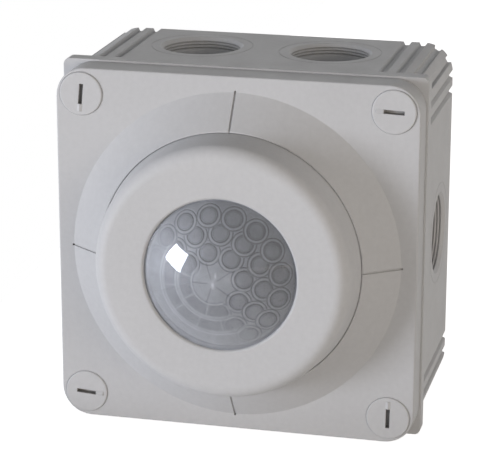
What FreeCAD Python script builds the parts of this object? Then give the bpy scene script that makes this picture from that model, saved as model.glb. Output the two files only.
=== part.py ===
import FreeCAD, Part
import math
import os

import Sketcher

# Ceiling or wall movement sensor in a square weatherproof junction box.
# X runs to the right, Z up, and -Y towards the viewer. The origin is the
# centre of the back face. A height is the distance in front of that face.

doc = FreeCAD.newDocument("movement_sensor")
sheet = doc.addObject("Spreadsheet::Sheet", "Sizes")
Vector = FreeCAD.Vector
parts = []


class Size:
    """A length or count, with the sheet expression that gives it."""

    def __init__(self, value, text):
        self.value = float(value)
        self.text = text

    def __add__(self, other):
        other = as_size(other)
        return Size(self.value + other.value, "(%s + %s)" % (self.text, other.text))

    def __sub__(self, other):
        other = as_size(other)
        return Size(self.value - other.value, "(%s - %s)" % (self.text, other.text))

    def __mul__(self, other):
        other = as_size(other)
        return Size(self.value * other.value, "(%s * %s)" % (self.text, other.text))

    def __truediv__(self, other):
        other = as_size(other)
        return Size(self.value / other.value, "(%s / %s)" % (self.text, other.text))

    def __radd__(self, other):
        return as_size(other) + self

    def __rsub__(self, other):
        return as_size(other) - self

    def __rmul__(self, other):
        return as_size(other) * self

    def __neg__(self):
        return Size(-self.value, "(-%s)" % self.text)


def as_size(number):
    if isinstance(number, Size):
        return number
    return Size(number, "%.9g" % number)


def cosine(degrees):
    degrees = as_size(degrees)
    return Size(math.cos(math.radians(degrees.value)), "cos(%s)" % degrees.text)


def sine(degrees):
    degrees = as_size(degrees)
    return Size(math.sin(math.radians(degrees.value)), "sin(%s)" % degrees.text)


row = 0


def size(alias, value):
    """Put one driving dimension in the sheet and return it as a Size."""
    global row
    row += 1
    sheet.set("A%d" % row, alias)
    sheet.set("B%d" % row, str(value))
    sheet.setAlias("B%d" % row, alias)
    return Size(value, "Sizes." + alias)


# Enclosure
case_half = size("case_half", 55.0)
case_depth = size("case_depth", 60.0)
case_wall = size("case_wall", 3.2)
back_thickness = size("back_thickness", 3.0)
case_corner_radius = size("case_corner_radius", 9.0)
flange_proud = size("flange_proud", 0.6)
flange_thickness = size("flange_thickness", 4.6)
flange_corner_radius = size("flange_corner_radius", 2.0)
rib_pitch = size("rib_pitch", 5.0)
rib_groove_mouth = size("rib_groove_mouth", 3.0)
rib_groove_floor = size("rib_groove_floor", 1.5)
rib_groove_depth = size("rib_groove_depth", 1.1)
tongue_wall = size("tongue_wall", 1.3)
fit_gap = size("fit_gap", 0.3)

# Corner screws and wall fixing
screw_inset = size("screw_inset", 7.8)
screw_head_radius = size("screw_head_radius", 6.6)
screw_head_thickness = size("screw_head_thickness", 2.3)
screw_head_proud = size("screw_head_proud", 0.5)
screw_head_round = size("screw_head_round", 0.45)
screw_head_gap = size("screw_head_gap", 0.06)
screw_shank_radius = size("screw_shank_radius", 3.0)
screw_shank_gap = size("screw_shank_gap", 0.3)
screw_length = size("screw_length", 21.0)
screw_lug_reach = size("screw_lug_reach", 4.3)
screw_lug_width = size("screw_lug_width", 3.2)
screw_lug_thickness = size("screw_lug_thickness", 3.5)
screw_slot_length = size("screw_slot_length", 6.1)
screw_slot_width = size("screw_slot_width", 1.2)
screw_slot_depth = size("screw_slot_depth", 1.9)
screw_mark_length = size("screw_mark_length", 2.3)
screw_mark_width = size("screw_mark_width", 1.6)
screw_mark_height = size("screw_mark_height", 0.4)
corner_block_radius = size("corner_block_radius", 7.9)
socket_radius = size("socket_radius", 4.7)
socket_floor = size("socket_floor", 6.0)
fixing_hole_radius = size("fixing_hole_radius", 2.3)

# Cable entries
entry_radius = size("entry_radius", 11.9)
entry_lip_radius = size("entry_lip_radius", 12.8)
entry_chamfer = size("entry_chamfer", 1.0)
entry_depth = size("entry_depth", 6.0)
entry_floor_step = size("entry_floor_step", 0.25)
entry_membrane = size("entry_membrane", 1.3)
entry_boss_wall = size("entry_boss_wall", 3.4)
entry_spacing = size("entry_spacing", 40.5)
entry_height = size("entry_height", 20.9)
entry_plain_length = size("entry_plain_length", 2.2)
entry_thread_pitch = size("entry_thread_pitch", 0.95)
entry_thread_width = size("entry_thread_width", 0.7)
entry_thread_depth = size("entry_thread_depth", 0.5)
knockout_ring_radius = size("knockout_ring_radius", 15.7)
knockout_ring_width = size("knockout_ring_width", 0.3)
knockout_ring_depth = size("knockout_ring_depth", 0.08)

# Lid
lid_band = size("lid_band", 9.4)
lid_gap = size("lid_gap", 0.25)
lid_plate = size("lid_plate", 2.6)
lid_corner_radius = size("lid_corner_radius", 9.0)
lid_edge_round = size("lid_edge_round", 0.5)
skirt_wall = size("skirt_wall", 1.6)
seal_rib_wall = size("seal_rib_wall", 1.2)
seal_rib_height = size("seal_rib_height", 2.8)
gasket_thickness = size("gasket_thickness", 1.3)
gasket_gap = size("gasket_gap", 0.1)
cone_base_radius = size("cone_base_radius", 50.25)
cone_top_radius = size("cone_top_radius", 39.9)
cone_height = size("cone_height", 7.3)
cone_land = size("cone_land", 0.4)
cone_wall = size("cone_wall", 3.2)
cone_inner_wall = size("cone_inner_wall", 2.3)
cone_mark_width = size("cone_mark_width", 0.5)
cone_mark_depth = size("cone_mark_depth", 0.4)
collar_wall = size("collar_wall", 2.2)
collar_height = size("collar_height", 6.0)
collar_gap = size("collar_gap", 0.25)
boss_radius = size("boss_radius", 2.6)
boss_offset = size("boss_offset", 4.8)
boss_height = size("boss_height", 5.4)

# Bezel
bezel_gap = size("bezel_gap", 0.15)
bezel_front_radius = size("bezel_front_radius", 38.0)
bezel_projection = size("bezel_projection", 19.5)
bezel_wall = size("bezel_wall", 2.0)
bezel_face_thickness = size("bezel_face_thickness", 2.2)
bezel_round = size("bezel_round", 4.2)
opening_radius = size("opening_radius", 23.0)
opening_round = size("opening_round", 0.8)
bezel_lip_wall = size("bezel_lip_wall", 1.5)
bezel_lip_depth = size("bezel_lip_depth", 4.5)
bezel_sleeve_wall = size("bezel_sleeve_wall", 1.6)
bezel_sleeve_gap = size("bezel_sleeve_gap", 0.08)

# Lens
lens_gap = size("lens_gap", 0.1)
lens_rise = size("lens_rise", 8.6)
lens_wall = size("lens_wall", 0.8)
lens_setback = size("lens_setback", 0.9)
lens_flange_radius = size("lens_flange_radius", 27.0)
lens_flange_thickness = size("lens_flange_thickness", 1.0)
lens_skirt_height = size("lens_skirt_height", 6.6)
lens_seal_thickness = size("lens_seal_thickness", 0.6)
retainer_thickness = size("retainer_thickness", 1.6)
retainer_gap = size("retainer_gap", 0.1)

# Sensor housing
housing_radius = size("housing_radius", 29.5)
housing_wall = size("housing_wall", 2.5)
housing_rim_wall = size("housing_rim_wall", 2.2)
housing_rim_height = size("housing_rim_height", 3.8)
housing_back = size("housing_back", 29.0)
housing_flange_reach = size("housing_flange_reach", 8.3)
housing_flange_thickness = size("housing_flange_thickness", 2.5)
housing_ledge = size("housing_ledge", 2.0)
seal_section = size("seal_section", 1.6)
seal_groove_width = size("seal_groove_width", 1.8)
seal_groove_depth = size("seal_groove_depth", 1.4)
seal_squash = size("seal_squash", 0.03)
rear_cover_thickness = size("rear_cover_thickness", 2.0)
rear_plug_height = size("rear_plug_height", 4.0)
rear_plug_wall = size("rear_plug_wall", 1.5)

# Circuit boards and what they carry
board_thickness = size("board_thickness", 1.6)
board_gap = size("board_gap", 0.3)
sensor_board_front = size("sensor_board_front", 53.0)
board_spacing = size("board_spacing", 12.4)
column_inset = size("column_inset", 4.1)
column_radius = size("column_radius", 2.6)
column_bore_radius = size("column_bore_radius", 1.4)
column_boss_height = size("column_boss_height", 7.0)
pyro_can_radius = size("pyro_can_radius", 4.1)
pyro_rim_radius = size("pyro_rim_radius", 4.65)
pyro_rim_thickness = size("pyro_rim_thickness", 0.7)
pyro_can_height = size("pyro_can_height", 4.3)
pyro_window_width = size("pyro_window_width", 4.2)
pyro_window_height = size("pyro_window_height", 3.2)
pyro_window_thickness = size("pyro_window_thickness", 0.5)
pyro_lead_radius = size("pyro_lead_radius", 0.25)
pyro_lead_circle = size("pyro_lead_circle", 2.54)
pyro_lead_length = size("pyro_lead_length", 3.2)
photocell_radius = size("photocell_radius", 2.5)
photocell_height = size("photocell_height", 2.0)
photocell_offset = size("photocell_offset", 12.0)
indicator_radius = size("indicator_radius", 1.5)
indicator_height = size("indicator_height", 4.2)
indicator_offset = size("indicator_offset", 11.0)
relay_width = size("relay_width", 20.0)
relay_height = size("relay_height", 10.0)
relay_depth = size("relay_depth", 10.2)
relay_left = size("relay_left", 7.0)
relay_up = size("relay_up", 9.0)
capacitor_radius = size("capacitor_radius", 4.0)
capacitor_length = size("capacitor_length", 10.0)
capacitor_right = size("capacitor_right", 11.0)
capacitor_up = size("capacitor_up", 9.0)
film_width = size("film_width", 18.0)
film_height = size("film_height", 6.0)
film_depth = size("film_depth", 9.5)
film_down = size("film_down", 2.0)
header_pitch = size("header_pitch", 2.54)
header_body_width = size("header_body_width", 13.2)
header_body_height = size("header_body_height", 2.6)
header_socket_depth = size("header_socket_depth", 7.0)
header_strip_depth = size("header_strip_depth", 2.4)
header_pin_radius = size("header_pin_radius", 0.3)
header_pin_gap = size("header_pin_gap", 0.1)
header_pin_length = size("header_pin_length", 6.0)
header_down = size("header_down", 15.0)
varistor_width = size("varistor_width", 9.0)
varistor_height = size("varistor_height", 3.6)
varistor_depth = size("varistor_depth", 9.0)
varistor_down = size("varistor_down", 9.0)

# Terminal block and adjusters on the back of the rear board
terminal_pitch = size("terminal_pitch", 5.0)
terminal_height = size("terminal_height", 9.0)
terminal_depth = size("terminal_depth", 12.0)
terminal_down = size("terminal_down", 8.0)
terminal_window_gap = size("terminal_window_gap", 0.5)
terminal_well_radius = size("terminal_well_radius", 1.95)
terminal_well_depth = size("terminal_well_depth", 6.0)
terminal_screw_radius = size("terminal_screw_radius", 1.85)
terminal_screw_length = size("terminal_screw_length", 3.6)
terminal_screw_slot = size("terminal_screw_slot", 0.6)
terminal_tip_radius = size("terminal_tip_radius", 1.1)
terminal_tip_length = size("terminal_tip_length", 1.6)
terminal_tip_gap = size("terminal_tip_gap", 0.1)
terminal_mouth_radius = size("terminal_mouth_radius", 1.7)
terminal_mouth_depth = size("terminal_mouth_depth", 6.0)
terminal_mouth_height = size("terminal_mouth_height", 2.6)
trimmer_side = size("trimmer_side", 9.6)
trimmer_depth = size("trimmer_depth", 4.8)
trimmer_right = size("trimmer_right", 10.5)
trimmer_up = size("trimmer_up", 10.0)
trimmer_bore_depth = size("trimmer_bore_depth", 3.8)
adjuster_radius = size("adjuster_radius", 2.6)
adjuster_gap = size("adjuster_gap", 0.08)
adjuster_window_gap = size("adjuster_window_gap", 0.4)
adjuster_proud = size("adjuster_proud", 0.6)
adjuster_slot_width = size("adjuster_slot_width", 0.9)
adjuster_slot_depth = size("adjuster_slot_depth", 0.9)

# Small screws
small_head_radius = size("small_head_radius", 2.2)
small_head_thickness = size("small_head_thickness", 1.6)
small_slot_width = size("small_slot_width", 0.6)
small_slot_depth = size("small_slot_depth", 0.8)
housing_screw_radius = size("housing_screw_radius", 1.4)
housing_screw_length = size("housing_screw_length", 8.0)
board_screw_radius = size("board_screw_radius", 1.1)
board_screw_reach = size("board_screw_reach", 5.0)
screw_bore_gap = size("screw_bore_gap", 0.05)
screw_clearance = size("screw_clearance", 0.25)

PILLAR_COUNT = 4
HOUSING_SCREW_COUNT = 3
COLUMN_COUNT = 3
TERMINAL_COUNT = 5
HEADER_PIN_COUNT = 5
THREAD_GROOVE_COUNT = 3
FIRST_COLUMN_ANGLE = 90
FIRST_BOSS_ANGLE = 30
CORNER_ANGLE = 45
FLAT_GROOVE_STEPS = (1.5, 2.5)
OVERLAP = 0.5

# Places, radii and heights that several parts share
screw_offset = case_half - screw_inset
lid_bottom = case_depth - lid_band
rim_top = lid_bottom - lid_gap
flange_back = rim_top - flange_thickness
plate_back = case_depth - lid_plate
tongue_top = plate_back - gasket_thickness
pillar_radius = corner_block_radius + fit_gap + tongue_wall
cavity_half = case_half - case_wall
tongue_half = case_half - skirt_wall - fit_gap
cone_top = case_depth + cone_height
cone_run = cone_base_radius - cone_top_radius - cone_land
bezel_front = case_depth + bezel_projection
lens_radius = opening_radius - lens_gap
lens_base = bezel_front - lens_setback
lens_top = lens_base + lens_rise
lens_flange_back = lens_base - lens_skirt_height
lens_flange_front = lens_flange_back + lens_flange_thickness
lens_ledge = lens_flange_back - lens_seal_thickness
housing_top = lens_ledge + housing_rim_height
housing_bore = housing_radius - housing_wall
rim_bore = housing_radius - housing_rim_wall
housing_flange_radius = housing_radius + housing_flange_reach
boss_circle_radius = housing_radius + boss_offset
column_circle_radius = housing_bore - column_inset
lens_ledge_radius = opening_radius + fit_gap / 3
collar_bore = housing_radius + collar_gap
collar_radius = collar_bore + collar_wall
collar_top = case_depth + collar_height
sensor_board_back = sensor_board_front - board_thickness
power_board_front = sensor_board_back - board_spacing
power_board_back = power_board_front - board_thickness
board_radius = housing_bore - board_gap


def bind(item, name, amount):
    """Tie a property to the sheet, or set it where the amount is a plain number."""
    if isinstance(amount, Size):
        item.setExpression(name, amount.text)
    else:
        setattr(item, name, amount)


def place(item, x=0.0, height=0.0, z=0.0, rotation=FreeCAD.Rotation()):
    """Put an item's own origin at x, z and at a height in front of the back face."""
    item.Placement = FreeCAD.Placement(Vector(0, 0, 0), rotation)
    item.setExpression("Placement.Base.x", as_size(x).text)
    item.setExpression("Placement.Base.y", (-as_size(height)).text)
    item.setExpression("Placement.Base.z", as_size(z).text)
    return item


def new_body(label):
    body = doc.addObject("PartDesign::Body", label)
    body.Label = label
    parts.append(body)
    return body


def origin_plane(body, role):
    return [item for item in body.Origin.OriginFeatures if item.Role == role][0]


def new_sketch(body, name, height=0.0, role="XZ_Plane", across=0.0, up=0.0):
    sketch = body.newObject("Sketcher::SketchObject", name)
    sketch.AttachmentSupport = [(origin_plane(body, role), "")]
    sketch.MapMode = "FlatFace"
    sketch.setExpression("AttachmentOffset.Base.x", as_size(across).text)
    sketch.setExpression("AttachmentOffset.Base.y", as_size(up).text)
    sketch.setExpression("AttachmentOffset.Base.z", as_size(height).text)
    return sketch


def dimension(sketch, kind, geometry, amount):
    """Add a driving dimension to a sketch and tie it to the sheet."""
    amount = as_size(amount)
    index = sketch.addConstraint(Sketcher.Constraint(kind, *geometry, amount.value))
    sketch.setExpression("Constraints[%d]" % index, amount.text)


def locate(sketch, geometry, point, x, y):
    """Fix a sketch point by its distances from the sketch origin."""
    for kind, amount, axis in (("DistanceX", x, -2), ("DistanceY", y, -1)):
        amount = as_size(amount)
        if amount.text == "0":
            sketch.addConstraint(Sketcher.Constraint("PointOnObject", geometry, point, axis))
        else:
            dimension(sketch, kind, (-1, 1, geometry, point), amount)


def polygon(sketch, points):
    """Closed outline of straight lines through the given points."""
    points = [(as_size(x), as_size(y)) for x, y in points]
    count = len(points)
    first = sketch.GeometryCount
    for index in range(count):
        x0, y0 = points[index]
        x1, y1 = points[(index + 1) % count]
        start = Vector(x0.value, y0.value, 0)
        end = Vector(x1.value, y1.value, 0)
        sketch.addGeometry(Part.LineSegment(start, end), False)
    for index in range(count):
        following = first + (index + 1) % count
        sketch.addConstraint(Sketcher.Constraint("Coincident", first + index, 2, following, 1))
    for index in range(count):
        locate(sketch, first + index, 1, *points[index])


def rectangle(sketch, width, height, x=0.0, y=0.0):
    left = as_size(x) - as_size(width) / 2
    right = as_size(x) + as_size(width) / 2
    low = as_size(y) - as_size(height) / 2
    high = as_size(y) + as_size(height) / 2
    polygon(sketch, [(left, low), (right, low), (right, high), (left, high)])


def circle(sketch, radius, x=0.0, y=0.0):
    x, y, radius = as_size(x), as_size(y), as_size(radius)
    centre = Vector(x.value, y.value, 0)
    shape = Part.Circle(centre, Vector(0, 0, 1), radius.value)
    index = sketch.addGeometry(shape, False)
    dimension(sketch, "Radius", (index,), radius)
    locate(sketch, index, 3, x, y)


def ring(sketch, outer, inner, x=0.0, y=0.0):
    circle(sketch, outer, x, y)
    circle(sketch, inner, x, y)


def corner_arcs(sketch, half, centre, radius, notched):
    """Square with an arc at each corner, rounded or notched around its centre."""
    half, centre, radius = as_size(half), as_size(centre), as_size(radius)
    reach = half.value - centre.value
    swing = math.degrees(math.asin(min(1.0, reach / radius.value)))
    first = sketch.GeometryCount
    signs = ((1, 1), (-1, 1), (-1, -1), (1, -1))
    for quarter, (sx, sy) in enumerate(signs):
        if notched:
            start, end = 180 - swing, 270 + swing
        else:
            start, end = 0, 90
        turn = 90 * quarter
        start, end = math.radians(start + turn), math.radians(end + turn)
        middle = Vector(sx * centre.value, sy * centre.value, 0)
        round_edge = Part.Circle(middle, Vector(0, 0, 1), radius.value)
        sketch.addGeometry(Part.ArcOfCircle(round_edge, start, end), False)
    ends = []
    for quarter in range(4):
        arc = sketch.Geometry[first + quarter]
        ends.append((arc.StartPoint, arc.EndPoint))
    near, far = (0, 1) if notched else (1, 0)
    for quarter in range(4):
        start = ends[quarter][near]
        end = ends[(quarter + 1) % 4][far]
        sketch.addGeometry(Part.LineSegment(start, end), False)
    for quarter, (sx, sy) in enumerate(signs):
        arc = first + quarter
        line = first + 4 + quarter
        following = first + (quarter + 1) % 4
        sketch.addConstraint(Sketcher.Constraint("Coincident", arc, near + 1, line, 1))
        sketch.addConstraint(Sketcher.Constraint("Coincident", line, 2, following, far + 1))
        dimension(sketch, "Radius", (arc,), radius)
        locate(sketch, arc, 3, sx * centre, sy * centre)
        if quarter % 2 == 0:
            sketch.addConstraint(Sketcher.Constraint("Horizontal", line))
            dimension(sketch, "DistanceY", (-1, 1, line, 1), sy * half)
        else:
            sketch.addConstraint(Sketcher.Constraint("Vertical", line))
            dimension(sketch, "DistanceX", (-1, 1, line, 1), sx * half)


def rounded_square(sketch, half, radius):
    """Square with tangent corner arcs, each line fixed by its arcs' ends."""
    half, radius = as_size(half), as_size(radius)
    centre = half - radius
    first = sketch.GeometryCount
    signs = ((1, 1), (-1, 1), (-1, -1), (1, -1))
    for quarter, (sx, sy) in enumerate(signs):
        middle = Vector(sx * centre.value, sy * centre.value, 0)
        round_edge = Part.Circle(middle, Vector(0, 0, 1), radius.value)
        start = math.radians(90 * quarter)
        arc = Part.ArcOfCircle(round_edge, start, start + math.pi / 2)
        sketch.addGeometry(arc, False)
    for quarter in range(4):
        start = sketch.Geometry[first + quarter].EndPoint
        end = sketch.Geometry[first + (quarter + 1) % 4].StartPoint
        sketch.addGeometry(Part.LineSegment(start, end), False)
    for quarter, (sx, sy) in enumerate(signs):
        arc = first + quarter
        line = first + 4 + quarter
        following = first + (quarter + 1) % 4
        sketch.addConstraint(Sketcher.Constraint("Coincident", arc, 2, line, 1))
        sketch.addConstraint(Sketcher.Constraint("Coincident", line, 2, following, 1))
        dimension(sketch, "Radius", (arc,), radius)
        locate(sketch, arc, 3, sx * centre, sy * centre)
        level, upright = ("Horizontal", "Vertical") if quarter % 2 == 0 else ("Vertical", "Horizontal")
        sketch.addConstraint(Sketcher.Constraint(level, arc, 3, arc, 1))
        sketch.addConstraint(Sketcher.Constraint(upright, arc, 3, arc, 2))


def notched_square(sketch, half, notch_radius):
    """Square whose corners are cut away around the corner screws."""
    corner_arcs(sketch, half, screw_offset, notch_radius, True)


def pad(body, sketch, length, name):
    feature = body.newObject("PartDesign::Pad", name)
    feature.Profile = sketch
    bind(feature, "Length", length)
    return feature


def pocket(body, sketch, length, name, outward=False):
    """Cut from the sketch plane towards the back, or towards the front."""
    feature = body.newObject("PartDesign::Pocket", name)
    feature.Profile = sketch
    feature.Reversed = outward
    bind(feature, "Length", length)
    return feature


def turned(body, name, points, removes=False):
    """Revolve an outline of (radius, height) points about the body's Y axis."""
    sketch = new_sketch(body, name + "_outline", role="XY_Plane")
    polygon(sketch, [(radius, -as_size(height)) for radius, height in points])
    kind = "PartDesign::Groove" if removes else "PartDesign::Revolution"
    feature = body.newObject(kind, name)
    feature.Profile = sketch
    feature.ReferenceAxis = (sketch, ["V_Axis"])
    feature.Angle = 360
    return feature


def repeat_around(body, feature, count, name):
    pattern = body.newObject("PartDesign::PolarPattern", name)
    pattern.Originals = [feature]
    axis = [item for item in body.Origin.OriginFeatures if item.Role == "Y_Axis"][0]
    pattern.Axis = (axis, [""])
    pattern.Angle = 360
    pattern.Occurrences = count
    body.Tip = pattern
    return pattern


def round_edges(body, feature, radius, name, wanted):
    """Fillet the edges of the current shape that the test picks."""
    doc.recompute()
    names = []
    for index, edge in enumerate(feature.Shape.Edges):
        if wanted(edge):
            names.append("Edge%d" % (index + 1))
    fillet = body.newObject("PartDesign::Fillet", name)
    fillet.Base = (feature, names)
    bind(fillet, "Radius", radius)
    return fillet


def lies_at_height(edge, height, tolerance=0.01):
    box = edge.BoundBox
    return abs(-box.YMin - height.value) < tolerance and abs(-box.YMax - height.value) < tolerance


def is_circle_at(edge, radius, height):
    """True for a whole circle of this radius about the Y axis at this height."""
    if not lies_at_height(edge, height):
        return False
    return abs(edge.Length - 2 * math.pi * radius.value) < 0.05


def block(label, width, depth, height, x=0.0, base=0.0, z=0.0):
    """Box centred on x and z that stands in front of the given height."""
    item = doc.addObject("Part::Box", label)
    bind(item, "Length", as_size(width))
    bind(item, "Width", as_size(depth))
    bind(item, "Height", as_size(height))
    left = as_size(x) - as_size(width) / 2
    low = as_size(z) - as_size(height) / 2
    return place(item, left, as_size(base) + as_size(depth), low)


def rod(label, radius, length, x=0.0, base=0.0, z=0.0):
    """Cylinder that runs towards the front from the given height."""
    item = doc.addObject("Part::Cylinder", label)
    bind(item, "Radius", as_size(radius))
    bind(item, "Height", as_size(length))
    return place(item, x, base, z, FreeCAD.Rotation(Vector(1, 0, 0), 90))


def cut_away(label, base, tools):
    if len(tools) > 1:
        tool = join(label + "_tools", tools)
    else:
        tool = tools[0]
    item = doc.addObject("Part::Cut", label)
    item.Base = base
    item.Tool = tool
    return item


def join(label, shapes):
    item = doc.addObject("Part::MultiFuse", label)
    item.Shapes = shapes
    return item


def keep_part(item, label):
    """Name a finished sub-part and list it for the step files."""
    item.Label = label
    parts.append(item)
    return item


def group(label, members):
    item = doc.addObject("Part::Compound", label)
    item.Links = members
    return keep_part(item, label)


def around(radius, angle):
    """Point on a circle about the Y axis, seen from the front."""
    return as_size(radius) * cosine(angle), as_size(radius) * sine(angle)


def column_angles():
    return [FIRST_COLUMN_ANGLE + 360 / COLUMN_COUNT * index for index in range(COLUMN_COUNT)]


def boss_angles():
    step = 360 / HOUSING_SCREW_COUNT
    return [FIRST_BOSS_ANGLE + step * index for index in range(HOUSING_SCREW_COUNT)]


def rib_groove_points(turn, along):
    """Corners of one trapezium that cuts a corner rib groove.

    The groove crosses the corner arc at an angle from X, or a flat side at
    a distance beyond the end of the arc.
    """
    centre = case_half - case_corner_radius
    ux, uy = cosine(turn), sine(turn)
    tx, ty = -uy, ux
    shallow = case_corner_radius + OVERLAP
    deep = case_corner_radius - rib_groove_depth
    points = []
    for distance, width in ((shallow, -rib_groove_mouth), (shallow, rib_groove_mouth),
                            (deep, rib_groove_floor), (deep, -rib_groove_floor)):
        slide = width / 2 + along
        points.append((centre + ux * distance + tx * slide, centre + uy * distance + ty * slide))
    return points


def rib_grooves(body):
    sketch = new_sketch(body, "rib_groove_outline", flange_back)
    half_arc = case_corner_radius * (math.pi / 4)
    first_turn = rib_pitch / 2 / case_corner_radius * (180 / math.pi)
    polygon(sketch, rib_groove_points(CORNER_ANGLE - first_turn, 0))
    polygon(sketch, rib_groove_points(CORNER_ANGLE + first_turn, 0))
    for steps in FLAT_GROOVE_STEPS:
        beyond = rib_pitch * steps - half_arc
        polygon(sketch, rib_groove_points(0, -beyond))
        polygon(sketch, rib_groove_points(90, beyond))
    feature = pocket(body, sketch, flange_back, "rib_groove")
    repeat_around(body, feature, PILLAR_COUNT, "rib_grooves")


def entry_outline(inner, outer, radius_in, radius_out):
    return [(inner, radius_in), (outer, radius_in), (outer, radius_out), (inner, radius_out)]


def entry_sketch(body, name, axis, along, outline_sets, sign):
    """Sketch in a plane that holds the entry's axis; points are (distance out, radius)."""
    if axis == "V_Axis":
        sketch = new_sketch(body, name, entry_height, across=along)
    else:
        sketch = new_sketch(body, name, entry_height, up=along)
    for outline in outline_sets:
        if axis == "V_Axis":
            polygon(sketch, [(radius, sign * as_size(out)) for out, radius in outline])
        else:
            polygon(sketch, [(sign * as_size(out), radius) for out, radius in outline])
    return sketch


def entry_boss(body, name, axis, along, sign, depth):
    inner = case_half - depth - entry_membrane
    outer = case_half - case_wall + OVERLAP
    outline = entry_outline(inner, outer, 0, entry_radius + entry_boss_wall)
    sketch = entry_sketch(body, name + "_outline", axis, along, [outline], sign)
    feature = body.newObject("PartDesign::Revolution", name)
    feature.Profile = sketch
    feature.ReferenceAxis = (sketch, [axis])
    feature.Angle = 360


def entry_recess(body, name, axis, along, sign, depth):
    """Blind threaded recess with a lip chamfer, and the larger knock-out ring round it."""
    floor = case_half - depth
    mouth = case_half - entry_chamfer
    outside = case_half + OVERLAP
    flare = (entry_lip_radius - entry_radius) / entry_chamfer * OVERLAP
    recess = [(outside, 0), (floor, 0), (floor, entry_radius)]
    crest = entry_radius + entry_thread_depth
    for index in range(THREAD_GROOVE_COUNT):
        start = floor + entry_plain_length + entry_thread_pitch * index
        recess.append((start, entry_radius))
        recess.append((start + entry_thread_width / 2, crest))
        recess.append((start + entry_thread_width, entry_radius))
    recess.append((mouth, entry_radius))
    recess.append((outside, entry_lip_radius + flare))
    ring_floor = case_half - knockout_ring_depth
    ring_in = knockout_ring_radius - knockout_ring_width / 2
    ring_out = knockout_ring_radius + knockout_ring_width / 2
    knockout = entry_outline(ring_floor, outside, ring_in, ring_out)
    sketch = entry_sketch(body, name + "_outline", axis, along, [recess, knockout], sign)
    feature = body.newObject("PartDesign::Groove", name)
    feature.Profile = sketch
    feature.ReferenceAxis = (sketch, [axis])
    feature.Angle = 360


def cable_entries(body):
    """Two entries in the top, two in the bottom and one in each side."""
    half_spacing = entry_spacing / 2
    right_depth = entry_depth - entry_floor_step
    places = (("top_left", "V_Axis", -half_spacing, 1, entry_depth),
              ("top_right", "V_Axis", half_spacing, 1, right_depth),
              ("bottom_left", "V_Axis", -half_spacing, -1, entry_depth),
              ("bottom_right", "V_Axis", half_spacing, -1, right_depth),
              ("right", "H_Axis", 0.0, 1, entry_depth),
              ("left", "H_Axis", 0.0, -1, entry_depth))
    for name, axis, along, sign, depth in places:
        entry_boss(body, "entry_boss_" + name, axis, along, sign, depth)
    for name, axis, along, sign, depth in places:
        entry_recess(body, "entry_recess_" + name, axis, along, sign, depth)


def corner_circles(sketch, radius):
    for sx in (-1, 1):
        for sz in (-1, 1):
            circle(sketch, radius, sx * screw_offset, sz * screw_offset)


def enclosure_base():
    """Deep box with ribbed corners, a rim flange, a seal tongue and blind entries."""
    body = new_body("enclosure_base")
    sketch = new_sketch(body, "shell_outline")
    rounded_square(sketch, case_half, case_corner_radius)
    pad(body, sketch, rim_top, "shell")
    sketch = new_sketch(body, "flange_outline", flange_back)
    rounded_square(sketch, case_half + flange_proud, flange_corner_radius)
    pad(body, sketch, flange_thickness, "flange")
    rib_grooves(body)
    sketch = new_sketch(body, "tongue_outline", rim_top)
    notched_square(sketch, tongue_half, corner_block_radius + fit_gap)
    pad(body, sketch, tongue_top - rim_top, "tongue")
    sketch = new_sketch(body, "cavity_outline", tongue_top)
    notched_square(sketch, cavity_half, pillar_radius)
    pocket(body, sketch, tongue_top - back_thickness, "cavity")
    sketch = new_sketch(body, "socket_outline", rim_top)
    corner_circles(sketch, socket_radius)
    pocket(body, sketch, rim_top - socket_floor, "screw_sockets")
    sketch = new_sketch(body, "fixing_outline", socket_floor)
    corner_circles(sketch, fixing_hole_radius)
    pocket(body, sketch, socket_floor, "fixing_holes")
    cable_entries(body)


def lid_cone(body):
    """Shallow cone round the bezel, cored out behind, with four alignment marks."""
    foot = case_depth - OVERLAP
    turned(body, "cone", [(cone_top_radius, foot), (cone_base_radius, foot),
                          (cone_base_radius, case_depth), (cone_top_radius + cone_land, cone_top),
                          (cone_top_radius, cone_top)])
    slope = cone_height / cone_run
    core_in = cone_top_radius + cone_inner_wall
    core_out = cone_base_radius - (cone_wall - lid_plate) / slope
    core_top = case_depth + (cone_base_radius - core_in) * slope - cone_wall
    turned(body, "cone_core", [(core_in, plate_back - OVERLAP), (core_out, plate_back - OVERLAP),
                               (core_out, plate_back), (core_in, core_top)], removes=True)
    inner = cone_top_radius + cone_land
    rise = slope * OVERLAP
    sketch = new_sketch(body, "cone_mark_outline", -(cone_mark_width / 2), role="YZ_Plane")
    line = [(cone_base_radius + OVERLAP, case_depth - rise),
            (cone_base_radius + OVERLAP, case_depth + OVERLAP),
            (inner - OVERLAP, cone_top + rise + OVERLAP), (inner - OVERLAP, cone_top + rise)]
    polygon(sketch, [(-(height - cone_mark_depth), radius) for radius, height in line])
    mark = pocket(body, sketch, cone_mark_width, "cone_mark", outward=True)
    repeat_around(body, mark, PILLAR_COUNT, "cone_marks")


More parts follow.
